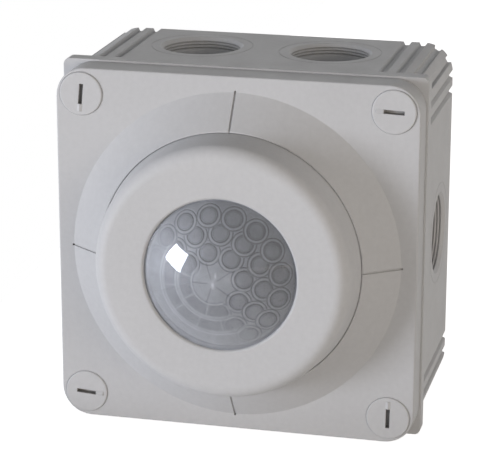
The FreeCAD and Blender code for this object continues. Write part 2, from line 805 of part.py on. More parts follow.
def lid_collar(body):
    """Tube and screw bosses that carry the sensor housing."""
    sketch = new_sketch(body, "collar_outline", case_depth - OVERLAP)
    ring(sketch, collar_radius, collar_bore)
    pad(body, sketch, collar_height + OVERLAP, "collar")
    x, z = around(boss_circle_radius, FIRST_BOSS_ANGLE)
    sketch = new_sketch(body, "boss_outline", case_depth - OVERLAP)
    circle(sketch, boss_radius, x, z)
    boss = pad(body, sketch, boss_height + OVERLAP, "boss")
    repeat_around(body, boss, HOUSING_SCREW_COUNT, "bosses")
    sketch = new_sketch(body, "bore_outline", case_depth)
    circle(sketch, collar_bore)
    pocket(body, sketch, lid_plate, "head_opening")
    sketch = new_sketch(body, "pilot_outline", plate_back)
    circle(sketch, housing_screw_radius + screw_bore_gap, x, z)
    pilot_depth = housing_screw_length - housing_flange_thickness + fit_gap
    pilot = pocket(body, sketch, pilot_depth, "pilot", outward=True)
    repeat_around(body, pilot, HOUSING_SCREW_COUNT, "pilots")


def lid():
    """Square lid with a skirt, a seal channel, screw recesses and the cone collar."""
    body = new_body("lid")
    sketch = new_sketch(body, "lid_outline", lid_bottom)
    rounded_square(sketch, case_half, lid_corner_radius)
    plate = pad(body, sketch, lid_band, "lid_block")
    front = case_depth
    round_edges(body, plate, lid_edge_round, "lid_edge", lambda edge: lies_at_height(edge, front))
    sketch = new_sketch(body, "inside_outline", plate_back)
    notched_square(sketch, case_half - skirt_wall, corner_block_radius)
    pocket(body, sketch, lid_band - lid_plate, "inside")
    sketch = new_sketch(body, "seal_rib_outline", plate_back - seal_rib_height)
    rib_out = cavity_half - fit_gap
    rib_notch = pillar_radius + fit_gap
    notched_square(sketch, rib_out, rib_notch)
    notched_square(sketch, rib_out - seal_rib_wall, rib_notch + seal_rib_wall)
    pad(body, sketch, seal_rib_height + OVERLAP, "seal_rib")
    lid_cone(body)
    lid_collar(body)
    sketch = new_sketch(body, "head_recess_outline", case_depth)
    corner_circles(sketch, screw_head_radius + screw_head_gap)
    pocket(body, sketch, screw_head_thickness - screw_head_proud, "head_recesses")
    sketch = new_sketch(body, "shank_hole_outline", case_depth)
    corner_circles(sketch, screw_shank_radius + screw_shank_gap)
    pocket(body, sketch, lid_band, "shank_holes")


def lid_gasket():
    """Foam seal in the lid channel, pressed by the tongue of the base."""
    body = new_body("lid_gasket")
    sketch = new_sketch(body, "gasket_outline", plate_back - gasket_thickness)
    notched_square(sketch, case_half - skirt_wall - gasket_gap, corner_block_radius + gasket_gap)
    notched_square(sketch, cavity_half - fit_gap + gasket_gap, pillar_radius + fit_gap - gasket_gap)
    pad(body, sketch, gasket_thickness, "gasket")


def lid_screw(label, sx, sz, turn):
    """Quarter-turn corner screw: slotted head with a ridge as pointer, long shank and cross lug."""
    body = new_body(label)
    top = case_depth + screw_head_proud
    under_head = top - screw_head_thickness
    tip = top - screw_length
    turned(body, "shank", [(0, tip), (screw_shank_radius, tip), (screw_shank_radius, under_head),
                           (screw_head_radius, under_head), (screw_head_radius, top), (0, top)])
    sketch = new_sketch(body, "lug_outline", tip)
    rectangle(sketch, screw_lug_reach * 2, screw_lug_width)
    lug = pad(body, sketch, screw_lug_thickness, "lug")
    round_edges(body, lug, screw_head_round, "head_round",
                lambda edge: is_circle_at(edge, screw_head_radius, top))
    sketch = new_sketch(body, "slot_outline", top)
    rectangle(sketch, screw_slot_length, screw_slot_width)
    pocket(body, sketch, screw_slot_depth, "slot")
    sketch = new_sketch(body, "mark_outline", screw_slot_length / 2, role="YZ_Plane")
    side = screw_mark_width / 2
    polygon(sketch, [(OVERLAP - top, -side), (-top, -side), (-(top + screw_mark_height), 0),
                     (-top, side), (OVERLAP - top, side)])
    pad(body, sketch, screw_mark_length, "mark")
    rotation = FreeCAD.Rotation(Vector(0, -1, 0), turn)
    place(body, sx * screw_offset, 0.0, sz * screw_offset, rotation)


def bezel():
    """Domed-edge ring round the lens, with a sleeve that grips the sensor housing."""
    body = new_body("bezel")
    outer = cone_top_radius - bezel_gap
    foot = case_depth
    ceiling = bezel_front - bezel_face_thickness
    sleeve_in = housing_radius + bezel_sleeve_gap
    sleeve_foot = collar_top + fit_gap * 3
    lip_out = opening_radius + bezel_lip_wall
    points = [(outer, foot), (outer, cone_top), (bezel_front_radius, bezel_front),
              (opening_radius, bezel_front), (opening_radius, bezel_front - bezel_lip_depth),
              (lip_out, bezel_front - bezel_lip_depth), (lip_out, ceiling), (sleeve_in, ceiling),
              (sleeve_in, sleeve_foot), (sleeve_in + bezel_sleeve_wall, sleeve_foot),
              (sleeve_in + bezel_sleeve_wall, ceiling), (bezel_front_radius - bezel_wall, ceiling),
              (outer - bezel_wall, cone_top), (outer - bezel_wall, foot)]
    shell = turned(body, "shell", points)
    rim = round_edges(body, shell, bezel_round, "outer_round",
                      lambda edge: is_circle_at(edge, bezel_front_radius, bezel_front))
    round_edges(body, rim, opening_round, "opening_round",
                lambda edge: is_circle_at(edge, opening_radius, bezel_front))


def lens():
    """Thin moulded dome lens on a short skirt with a clamping flange."""
    dome_radius = (lens_radius * lens_radius + lens_rise * lens_rise) / (2 * lens_rise)
    middle = lens_top - dome_radius
    outside = doc.addObject("Part::Sphere", "dome_outside")
    bind(outside, "Radius", dome_radius)
    place(outside, 0, middle, 0)
    inside = doc.addObject("Part::Sphere", "dome_inside")
    bind(inside, "Radius", dome_radius - lens_wall)
    place(inside, 0, middle, 0)
    shell = cut_away("dome_shell", outside, [inside])
    front = rod("dome_limit", lens_radius + OVERLAP, lens_rise + OVERLAP, 0, lens_base, 0)
    dome = doc.addObject("Part::Common", "dome")
    dome.Base = shell
    dome.Tool = front
    skirt = rod("lens_skirt", lens_radius, lens_skirt_height, 0, lens_flange_back, 0)
    flange = rod("lens_flange", lens_flange_radius, lens_flange_thickness, 0, lens_flange_back, 0)
    bore = rod("lens_bore", lens_radius - lens_wall, lens_skirt_height, 0, lens_flange_back, 0)
    foot = cut_away("lens_foot", join("lens_foot_blank", [skirt, flange]), [bore])
    keep_part(join("lens", [dome, foot]), "lens")


def flat_ring(label, outer, inner, back, thickness):
    body = new_body(label)
    sketch = new_sketch(body, label + "_outline", back)
    ring(sketch, outer, inner)
    pad(body, sketch, thickness, label + "_disc")


def sensor_housing():
    """Round cup behind the lid: it seats the lens in front and the boards behind."""
    body = new_body("sensor_housing")
    flange_rear = plate_back - housing_flange_thickness
    groove_low = case_depth + fit_gap
    groove_high = groove_low + seal_groove_width
    groove_floor = housing_radius - seal_groove_depth
    board_ledge = sensor_board_front + housing_ledge
    turned(body, "cup", [(housing_bore, housing_back), (housing_radius, housing_back),
                         (housing_radius, flange_rear), (housing_flange_radius, flange_rear),
                         (housing_flange_radius, plate_back), (housing_radius, plate_back),
                         (housing_radius, groove_low), (groove_floor, groove_low),
                         (groove_floor, groove_high), (housing_radius, groove_high),
                         (housing_radius, housing_top), (rim_bore, housing_top),
                         (rim_bore, lens_ledge), (lens_ledge_radius, lens_ledge),
                         (lens_ledge_radius, lens_ledge - housing_ledge),
                         (housing_bore, lens_ledge - housing_ledge), (housing_bore, board_ledge),
                         (housing_bore - housing_ledge, board_ledge),
                         (housing_bore - housing_ledge, sensor_board_front),
                         (housing_bore, sensor_board_front)])
    x, z = around(column_circle_radius, FIRST_COLUMN_ANGLE)
    sketch = new_sketch(body, "column_outline", sensor_board_front)
    circle(sketch, column_radius, x, z)
    column = pad(body, sketch, column_boss_height, "column")
    repeat_around(body, column, COLUMN_COUNT, "columns")
    sketch = new_sketch(body, "column_pilot_outline", sensor_board_front)
    circle(sketch, board_screw_radius + screw_bore_gap, x, z)
    depth = board_screw_reach + fit_gap
    pilot = pocket(body, sketch, depth, "column_pilot", outward=True)
    repeat_around(body, pilot, COLUMN_COUNT, "column_pilots")
    x, z = around(boss_circle_radius, FIRST_BOSS_ANGLE)
    sketch = new_sketch(body, "flange_hole_outline", plate_back)
    circle(sketch, housing_screw_radius + screw_clearance, x, z)
    hole = pocket(body, sketch, housing_flange_thickness, "flange_hole")
    repeat_around(body, hole, HOUSING_SCREW_COUNT, "flange_holes")


def housing_seal():
    """O-ring between the housing wall and the lid collar."""
    item = doc.addObject("Part::Torus", "housing_seal")
    section = seal_section / 2
    bind(item, "Radius1", housing_radius - seal_groove_depth + section + seal_squash)
    bind(item, "Radius2", section)
    height = case_depth + fit_gap + seal_groove_width / 2
    place(item, 0, height, 0, FreeCAD.Rotation(Vector(1, 0, 0), 90))
    keep_part(item, "housing_seal")


def rear_cover():
    """Plug that closes the cup, open for the terminals and the two adjusters."""
    body = new_body("rear_cover")
    back = housing_back - rear_cover_thickness
    sketch = new_sketch(body, "disc_outline", back)
    circle(sketch, housing_radius)
    pad(body, sketch, rear_cover_thickness, "disc")
    sketch = new_sketch(body, "plug_outline", housing_back)
    plug_radius = housing_bore - fit_gap / 3
    ring(sketch, plug_radius, plug_radius - rear_plug_wall)
    pad(body, sketch, rear_plug_height, "plug")
    sketch = new_sketch(body, "window_outline", housing_back)
    window_width = terminal_pitch * TERMINAL_COUNT + terminal_window_gap * 2
    window_height = terminal_height + terminal_window_gap * 2
    rectangle(sketch, window_width, window_height, 0, -terminal_down)
    for sx in (-1, 1):
        circle(sketch, adjuster_radius + adjuster_window_gap, sx * trimmer_right, trimmer_up)
    pocket(body, sketch, rear_cover_thickness, "windows")


def circuit_board(label, back, lead_holes):
    body = new_body(label)
    sketch = new_sketch(body, label + "_outline", back)
    circle(sketch, board_radius)
    for angle in column_angles():
        circle(sketch, column_bore_radius, *around(column_circle_radius, angle))
    for x, z in lead_holes:
        circle(sketch, pyro_lead_radius * 2, x, z)
    pad(body, sketch, board_thickness, label + "_disc")


def lead_places():
    return [around(pyro_lead_circle, angle) for angle in (0, 90, 180)]


def board_spacers():
    tubes = []
    for index, angle in enumerate(column_angles()):
        x, z = around(column_circle_radius, angle)
        tube = rod("spacer_%d" % index, column_radius, board_spacing, x, power_board_front, z)
        bore = rod("spacer_bore_%d" % index, column_bore_radius, board_spacing, x, power_board_front, z)
        tubes.append(cut_away("spacer_tube_%d" % index, tube, [bore]))
    group("board_spacers", tubes)


def small_screw(name, x, z, seat, length, radius):
    """Slotted screw whose head is behind its seat and whose shank runs forward."""
    head_back = seat - small_head_thickness
    head = rod(name + "_head", small_head_radius, small_head_thickness, x, head_back, z)
    shank = rod(name + "_shank", radius, length, x, seat, z)
    slot = block(name + "_slot", small_head_radius * 2, small_slot_depth, small_slot_width, x, head_back, z)
    return cut_away(name, join(name + "_blank", [head, shank]), [slot])


def board_screws():
    screws = []
    reach = sensor_board_front + board_screw_reach - power_board_back
    for index, angle in enumerate(column_angles()):
        x, z = around(column_circle_radius, angle)
        name = "board_screw_%d" % index
        screws.append(small_screw(name, x, z, power_board_back, reach, board_screw_radius))
    group("board_screws", screws)


def housing_screws():
    screws = []
    seat = plate_back - housing_flange_thickness
    for index, angle in enumerate(boss_angles()):
        x, z = around(boss_circle_radius, angle)
        name = "housing_screw_%d" % index
        screws.append(small_screw(name, x, z, seat, housing_screw_length, housing_screw_radius))
    group("housing_screws", screws)


def pyro_sensor():
    """Round metal detector can with a rectangular window and three leads."""
    body = new_body("pyro_sensor_can")
    base = sensor_board_front
    top = base + pyro_can_height
    turned(body, "can", [(0, base), (pyro_rim_radius, base), (pyro_rim_radius, base + pyro_rim_thickness),
                         (pyro_can_radius, base + pyro_rim_thickness), (pyro_can_radius, top), (0, top)])
    sketch = new_sketch(body, "window_outline", top)
    rectangle(sketch, pyro_window_width, pyro_window_height)
    pocket(body, sketch, pyro_window_thickness, "window_recess")
    window = block("pyro_filter_window", pyro_window_width, pyro_window_thickness, pyro_window_height,
                   0, top - pyro_window_thickness, 0)
    keep_part(window, "pyro_filter_window")
    leads = []
    for index, (x, z) in enumerate(lead_places()):
        start = sensor_board_front - pyro_lead_length
        leads.append(rod("pyro_lead_%d" % index, pyro_lead_radius, pyro_lead_length, x, start, z))
    group("pyro_leads", leads)


def photocell():
    keep_part(rod("daylight_photocell", photocell_radius, photocell_height,
                  photocell_offset, sensor_board_front, 0), "daylight_photocell")


def indicator_lamp():
    """Small round lamp with a domed end."""
    straight = indicator_height - indicator_radius
    stem = rod("lamp_stem", indicator_radius, straight, 0, sensor_board_front, -indicator_offset)
    tip = doc.addObject("Part::Sphere", "lamp_tip")
    bind(tip, "Radius", indicator_radius)
    place(tip, 0, sensor_board_front + straight, -indicator_offset)
    keep_part(join("indicator_lamp", [stem, tip]), "indicator_lamp")


def power_components():
    """Relay, capacitors and surge suppressor on the front of the rear board."""
    base = power_board_front
    relay = block("relay", relay_width, relay_depth, relay_height, -relay_left, base, relay_up)
    keep_part(relay, "relay")
    can = rod("electrolytic_capacitor", capacitor_radius, capacitor_length,
              capacitor_right, base, capacitor_up)
    keep_part(can, "electrolytic_capacitor")
    film = block("suppression_capacitor", film_width, film_depth, film_height, 0, base, -film_down)
    keep_part(film, "suppression_capacitor")
    surge = block("surge_suppressor", varistor_width, varistor_depth, varistor_height,
                  0, base, -varistor_down)
    keep_part(surge, "surge_suppressor")


def header_places():
    middle = (HEADER_PIN_COUNT - 1) / 2
    return [header_pitch * (index - middle) for index in range(HEADER_PIN_COUNT)]


def board_connector():
    """Socket on the rear board and pin strip on the front board."""
    base = power_board_front
    socket_top = base + header_socket_depth
    body = block("socket_body", header_body_width, header_socket_depth, header_body_height,
                 0, base, -header_down)
    hole_radius = header_pin_radius + header_pin_gap
    strip_back = sensor_board_back - header_strip_depth
    strip = block("pin_strip", header_body_width, header_strip_depth, header_body_height,
                  0, strip_back, -header_down)
    holes = []
    pins = [strip]
    for index, x in enumerate(header_places()):
        holes.append(rod("socket_hole_%d" % index, hole_radius, header_pin_length,
                         x, socket_top - header_pin_length, -header_down))
        pins.append(rod("header_pin_%d" % index, header_pin_radius, header_pin_length + OVERLAP,
                        x, strip_back - header_pin_length, -header_down))
    keep_part(cut_away("board_socket", body, holes), "board_socket")
    keep_part(join("board_pins", pins), "board_pins")


def terminal_places():
    middle = (TERMINAL_COUNT - 1) / 2
    return [terminal_pitch * (index - middle) for index in range(TERMINAL_COUNT)]


def terminal_block():
    """Row of cable clamps that reaches through the rear cover."""
    width = terminal_pitch * TERMINAL_COUNT
    back = power_board_back - terminal_depth
    body = block("terminal_body", width, terminal_depth, terminal_height, 0, back, -terminal_down)
    tools = []
    screws = []
    mouth_height = power_board_back - terminal_mouth_height
    mouth_start = -terminal_down - terminal_height / 2
    for index, x in enumerate(terminal_places()):
        tools.append(rod("well_%d" % index, terminal_well_radius, terminal_well_depth,
                         x, back, -terminal_down))
        mouth = doc.addObject("Part::Cylinder", "mouth_%d" % index)
        bind(mouth, "Radius", terminal_mouth_radius)
        bind(mouth, "Height", terminal_mouth_depth)
        tools.append(place(mouth, x, mouth_height, mouth_start))
        floor = back + terminal_well_depth
        tools.append(rod("clamp_hole_%d" % index, terminal_tip_radius + terminal_tip_gap,
                         mouth_height - floor, x, floor, -terminal_down))
        seat = floor - terminal_screw_length
        barrel = rod("clamp_barrel_%d" % index, terminal_screw_radius, terminal_screw_length,
                     x, seat, -terminal_down)
        tip = rod("clamp_tip_%d" % index, terminal_tip_radius, terminal_tip_length, x, floor, -terminal_down)
        slot = block("clamp_slot_%d" % index, terminal_screw_radius * 2, small_slot_depth,
                     terminal_screw_slot, x, seat, -terminal_down)
        blank = join("clamp_blank_%d" % index, [barrel, tip])
        screws.append(cut_away("clamp_screw_%d" % index, blank, [slot]))
    keep_part(cut_away("terminal_block", body, tools), "terminal_block")
    group("terminal_screws", screws)


def adjuster(name, sx):
    """Trimmer on the rear board and the slotted spindle that sets it."""
    base = power_board_back - trimmer_depth
    case = block(name + "_case", trimmer_side, trimmer_depth, trimmer_side,
                 sx * trimmer_right, base, trimmer_up)
    bore = rod(name + "_bore", adjuster_radius + adjuster_gap, trimmer_bore_depth,
               sx * trimmer_right, base, trimmer_up)
    keep_part(cut_away(name + "_trimmer", case, [bore]), name + "_trimmer")
    tip = housing_back - rear_cover_thickness - adjuster_proud
    length = base + trimmer_bore_depth - adjuster_gap - tip
    spindle = rod(name + "_spindle", adjuster_radius, length, sx * trimmer_right, tip, trimmer_up)
    slot = block(name + "_spindle_slot", adjuster_radius * 2, adjuster_slot_depth, adjuster_slot_width,
                 sx * trimmer_right, tip, trimmer_up)
    keep_part(cut_away(name + "_adjuster", spindle, [slot]), name + "_adjuster")


enclosure_base()
lid()
lid_gasket()
lid_screw("lid_screw_top_left", -1, 1, -95)
lid_screw("lid_screw_top_right", 1, 1, 178)
lid_screw("lid_screw_bottom_left", -1, -1, -4)
lid_screw("lid_screw_bottom_right", 1, -1, 89)
bezel()
lens()
flat_ring("lens_seal", lens_flange_radius, lens_ledge_radius + retainer_gap, lens_ledge, lens_seal_thickness)
flat_ring("lens_retainer", rim_bore - retainer_gap, lens_radius + fit_gap,
          lens_flange_front, retainer_thickness)
sensor_housing()
housing_seal()
housing_screws()
rear_cover()
circuit_board("sensor_board", sensor_board_back, lead_places())
circuit_board("power_board", power_board_back, [])
board_spacers()
board_screws()
pyro_sensor()
photocell()
indicator_lamp()
power_components()
board_connector()
terminal_block()
adjuster("time", -1)
adjuster("daylight", 1)

doc.recompute()

faults = []
for item in doc.Objects:
    if "Invalid" in item.State or "Error" in item.State:
        faults.append("%s is in state %s" % (item.Label, item.State))
for item in parts:
    if item.Shape.isNull() or not item.Shape.isValid() or not item.Shape.Solids:
        faults.append("%s has no valid solid" % item.Label)
if faults:
    raise RuntimeError("; ".join(faults))

os.makedirs("parts", exist_ok=True)
for item in parts:
    item.Shape.exportStep("parts/%s.step" % item.Label)
    box = item.Shape.BoundBox
    print("%-24s solids %d volume %9.1f  x %.2f %.2f  y %.2f %.2f  z %.2f %.2f" % (
        item.Label, len(item.Shape.Solids), item.Shape.Volume,
        box.XMin, box.XMax, box.YMin, box.YMax, box.ZMin, box.ZMax))
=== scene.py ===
import math

import bpy
import numpy as np
from mathutils import Matrix, Vector


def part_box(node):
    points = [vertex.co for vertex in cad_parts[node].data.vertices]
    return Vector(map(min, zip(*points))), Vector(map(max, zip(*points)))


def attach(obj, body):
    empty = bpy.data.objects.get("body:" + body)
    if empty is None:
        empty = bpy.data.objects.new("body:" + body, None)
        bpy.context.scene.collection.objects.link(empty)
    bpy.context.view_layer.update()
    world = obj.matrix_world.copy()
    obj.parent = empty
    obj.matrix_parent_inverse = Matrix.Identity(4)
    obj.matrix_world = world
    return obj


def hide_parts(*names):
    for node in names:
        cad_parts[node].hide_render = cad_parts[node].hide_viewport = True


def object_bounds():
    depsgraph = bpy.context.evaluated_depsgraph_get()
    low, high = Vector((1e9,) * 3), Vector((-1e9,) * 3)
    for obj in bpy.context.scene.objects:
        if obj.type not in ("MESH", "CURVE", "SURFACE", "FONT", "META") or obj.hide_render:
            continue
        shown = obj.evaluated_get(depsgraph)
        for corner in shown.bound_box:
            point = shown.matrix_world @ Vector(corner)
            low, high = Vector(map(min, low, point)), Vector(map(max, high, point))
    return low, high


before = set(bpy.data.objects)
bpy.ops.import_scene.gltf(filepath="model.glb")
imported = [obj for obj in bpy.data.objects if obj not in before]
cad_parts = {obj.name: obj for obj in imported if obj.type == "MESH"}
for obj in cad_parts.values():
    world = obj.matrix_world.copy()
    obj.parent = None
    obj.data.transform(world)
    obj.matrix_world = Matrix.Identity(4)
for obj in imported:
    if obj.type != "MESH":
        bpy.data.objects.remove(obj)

cad_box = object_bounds()

# The object's frame: X to the right, Z up, the lens towards -Y.
# A height is the distance in front of the back face, so y = -height.

MM = 0.001
FLOOR_Z = cad_box[0].z

# Camera, as fitted to the photograph
CAMERA_AZIMUTH = math.radians(13.577)
CAMERA_ELEVATION = math.radians(17.160)
CAMERA_ROLL = math.radians(0.135)
CAMERA_DISTANCE = 0.668726
CAMERA_LENS = 162.007
SENSOR_WIDTH = 36.0
CLIP_RANGE = (0.01, 20.0)
CAMERA_TARGET = Vector((0.004550, -0.060, 0.006467))

# Lens
LENS_RADIUS = 0.02296
LENS_RISE = 0.0086
LENS_SKIRT = 0.0066
LENS_APEX = -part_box("lens")[0].y
LENS_BASE = LENS_APEX - LENS_RISE
DOME_RADIUS = (LENS_RADIUS ** 2 + LENS_RISE ** 2) / (2 * LENS_RISE)
DOME_MIDDLE = LENS_APEX - DOME_RADIUS
SHELL_THICKNESS = 0.00022
SKIN_EDGE = 0.00035
SKIRT_WALL = 0.0008
FLANGE_RADIUS = 0.027
FLANGE_THICKNESS = 0.001
FACET_TOP_GAP = 0.00030
FACET_SIDE_GAP = 0.00005
AXIS_RADIUS = 0.00001
SHELL_STEPS = 60
SHELL_SEGMENTS = 256
SHELL_SHARP = math.radians(40.0)
FACET_ROWS = 220
FACET_COLUMNS = 1080
FACET_FIRST_POLAR = 0.0008
FACET_SHARP = math.radians(60)


def make_camera():
    data = bpy.data.cameras.new("camera")
    data.lens = CAMERA_LENS
    data.sensor_width = SENSOR_WIDTH
    data.clip_start, data.clip_end = CLIP_RANGE
    camera = bpy.data.objects.new("camera", data)
    back = Vector((math.sin(CAMERA_AZIMUTH) * math.cos(CAMERA_ELEVATION),
                   -math.cos(CAMERA_AZIMUTH) * math.cos(CAMERA_ELEVATION),
                   math.sin(CAMERA_ELEVATION)))
    right = (-back).cross(Vector((0, 0, 1))).normalized()
    up = right.cross(-back)
    turned_right = right * math.cos(CAMERA_ROLL) + up * math.sin(CAMERA_ROLL)
    turned_up = up * math.cos(CAMERA_ROLL) - right * math.sin(CAMERA_ROLL)
    place = Matrix((turned_right, turned_up, back)).transposed().to_4x4()
    place.translation = CAMERA_TARGET + back * CAMERA_DISTANCE
    camera.matrix_world = place
    bpy.context.scene.collection.objects.link(camera)
    bpy.context.scene.camera = camera


# --- node helpers

def new_nodes(name):
    material = bpy.data.materials.new(name)
    material.use_nodes = True
    material.node_tree.nodes.clear()
    return material, material.node_tree


def add(tree, kind, **values):
    node = tree.nodes.new(kind)
    for key, value in values.items():
        if key in node.inputs:
            node.inputs[key].default_value = value
        else:
            setattr(node, key, value)
    return node


def set_input(node, name, value):
    node.inputs[name].default_value = value


def noise(tree, coordinates, scale, detail=2.0, roughness=0.5):
    node = add(tree, "ShaderNodeTexNoise")
    set_input(node, "Scale", scale)
    set_input(node, "Detail", detail)
    set_input(node, "Roughness", roughness)
    tree.links.new(coordinates, node.inputs["Vector"])
    return node.outputs["Fac"]


def spread(tree, value, low, high, start=0.3, end=0.7):
    """Map a value from start..end, where most of a noise lies, to low..high."""
    node = add(tree, "ShaderNodeMapRange")
    set_input(node, "From Min", start)
    set_input(node, "From Max", end)
    set_input(node, "To Min", low)
    set_input(node, "To Max", high)
    tree.links.new(value, node.inputs["Value"])
    return node.outputs["Result"]


# Sockets of a Mix node that mixes colours
MIX_FACTOR, MIX_FIRST, MIX_SECOND, MIX_RESULT = 0, 6, 7, 2


def blend_colours(tree, factor, first, second):
    """Mix the colour second into first, which is a colour or a node's output."""
    node = add(tree, "ShaderNodeMix", data_type="RGBA")
    if isinstance(first, tuple):
        node.inputs[MIX_FIRST].default_value = (*first, 1)
    else:
        tree.links.new(first, node.inputs[MIX_FIRST])
    node.inputs[MIX_SECOND].default_value = (*second, 1)
    tree.links.new(factor, node.inputs[MIX_FACTOR])
    return node.outputs[MIX_RESULT]


def calculate(tree, operation, first, second):
    """Join two outputs, or an output and a number, with a Math node."""
    node = add(tree, "ShaderNodeMath", operation=operation)
    tree.links.new(first, node.inputs[0])
    if isinstance(second, float):
        node.inputs[1].default_value = second
    else:
        tree.links.new(second, node.inputs[1])
    return node.outputs[0]


def scaled(colour, amount):
    return tuple(min(1.0, part * amount) for part in colour)


# Moulded surfaces: specks and roughness patches in one colour patch, and painted shade in recesses, a
# darker colour where ambient occlusion finds them
SPECKS_PER_PATCH = 22
ROUGH_PER_PATCH = 5
ROUGHNESS_SPREAD = 0.1
GRAIN_STRENGTH = 0.6
BEVEL_SAMPLES = 6
# Colour of the painted shade in recesses
PAINTED_RECESS_SHADE = (0.16, 0.15, 0.135)
RECESS_REACH = 0.006
RECESS_SAMPLES = 8
RECESS_OPENNESS = (0.1, 0.6)


def moulded(name, colour, roughness=0.45, variation=0.03, grain=0.000012, grain_scale=1800.0,
            edge=0.00035, specular=0.5, coat=0.0, metallic=0.0, patch_scale=28.0, painted_shade=0.0):
    """Moulded plastic or metal: soft patches, fine grain, softened edges and painted shade in recesses."""
    material, tree = new_nodes(name)
    where = add(tree, "ShaderNodeTexCoord").outputs["Object"]
    patches = noise(tree, where, patch_scale, detail=3.0, roughness=0.55)
    specks = noise(tree, where, patch_scale * SPECKS_PER_PATCH, roughness=0.6)
    shade = spread(tree, calculate(tree, "ADD", patches, specks), 0.0, 1.0, start=0.7, end=1.3)
    colours = blend_colours(tree, shade, scaled(colour, 1 - variation), scaled(colour, 1 + variation))
    shader = add(tree, "ShaderNodeBsdfPrincipled")
    set_input(shader, "Metallic", metallic)
    set_input(shader, "Specular IOR Level", specular)
    set_input(shader, "Coat Weight", coat)
    # Painted shade: the colour darkens towards the shade colour where ambient occlusion finds a recess
    if painted_shade > 0:
        recess = add(tree, "ShaderNodeAmbientOcclusion", samples=RECESS_SAMPLES, only_local=True)
        set_input(recess, "Distance", RECESS_REACH)
        shade_mix = spread(tree, recess.outputs["AO"], painted_shade, 0.0, *RECESS_OPENNESS)
        colours = blend_colours(tree, shade_mix, colours, PAINTED_RECESS_SHADE)
    tree.links.new(colours, shader.inputs["Base Color"])
    rough = spread(tree, noise(tree, where, patch_scale * ROUGH_PER_PATCH),
                   roughness * (1 - ROUGHNESS_SPREAD), roughness * (1 + ROUGHNESS_SPREAD))
    tree.links.new(rough, shader.inputs["Roughness"])
    bump = add(tree, "ShaderNodeBump")
    set_input(bump, "Strength", GRAIN_STRENGTH)
    set_input(bump, "Distance", grain)
    tree.links.new(noise(tree, where, grain_scale, roughness=0.7), bump.inputs["Height"])
    if edge > 0:
        bevel = add(tree, "ShaderNodeBevel", samples=BEVEL_SAMPLES)
        set_input(bevel, "Radius", edge)
        tree.links.new(bevel.outputs["Normal"], bump.inputs["Normal"])
    tree.links.new(bump.outputs["Normal"], shader.inputs["Normal"])
    output = add(tree, "ShaderNodeOutputMaterial")
    tree.links.new(shader.outputs["BSDF"], output.inputs["Surface"])
    return material


CLEAR_COLOUR = (0.93, 0.95, 1.0, 1)
CLEAR_IOR = 1.52
CLEAR_ROUGHNESS = (0.015, 0.035)
CLEAR_ROUGHNESS_SCALE = 300.0
RIPPLE_STRENGTH = 0.3
RIPPLE_DEPTH = 0.000004
RIPPLE_SCALE = 160.0


def clear_shell(name):
    """Clear smooth skin of the lens; light for what is under it passes straight through."""
    material, tree = new_nodes(name)
    where = add(tree, "ShaderNodeTexCoord").outputs["Object"]
    shader = add(tree, "ShaderNodeBsdfPrincipled")
    set_input(shader, "Base Color", CLEAR_COLOUR)
    set_input(shader, "Transmission Weight", 1.0)
    set_input(shader, "IOR", CLEAR_IOR)
    rough = spread(tree, noise(tree, where, CLEAR_ROUGHNESS_SCALE), *CLEAR_ROUGHNESS)
    tree.links.new(rough, shader.inputs["Roughness"])
    bump = add(tree, "ShaderNodeBump")
    set_input(bump, "Strength", RIPPLE_STRENGTH)
    set_input(bump, "Distance", RIPPLE_DEPTH)
    tree.links.new(noise(tree, where, RIPPLE_SCALE), bump.inputs["Height"])
    tree.links.new(bump.outputs["Normal"], shader.inputs["Normal"])
    passing = add(tree, "ShaderNodeBsdfTransparent")
    path = add(tree, "ShaderNodeLightPath")
    lighting = calculate(tree, "MAXIMUM", path.outputs["Is Shadow Ray"], path.outputs["Is Diffuse Ray"])
    mix = add(tree, "ShaderNodeMixShader")
    tree.links.new(lighting, mix.inputs["Fac"])
    tree.links.new(shader.outputs["BSDF"], mix.inputs[1])
    tree.links.new(passing.outputs["BSDF"], mix.inputs[2])
    output = add(tree, "ShaderNodeOutputMaterial")
    tree.links.new(mix.outputs["Shader"], output.inputs["Surface"])
    return material


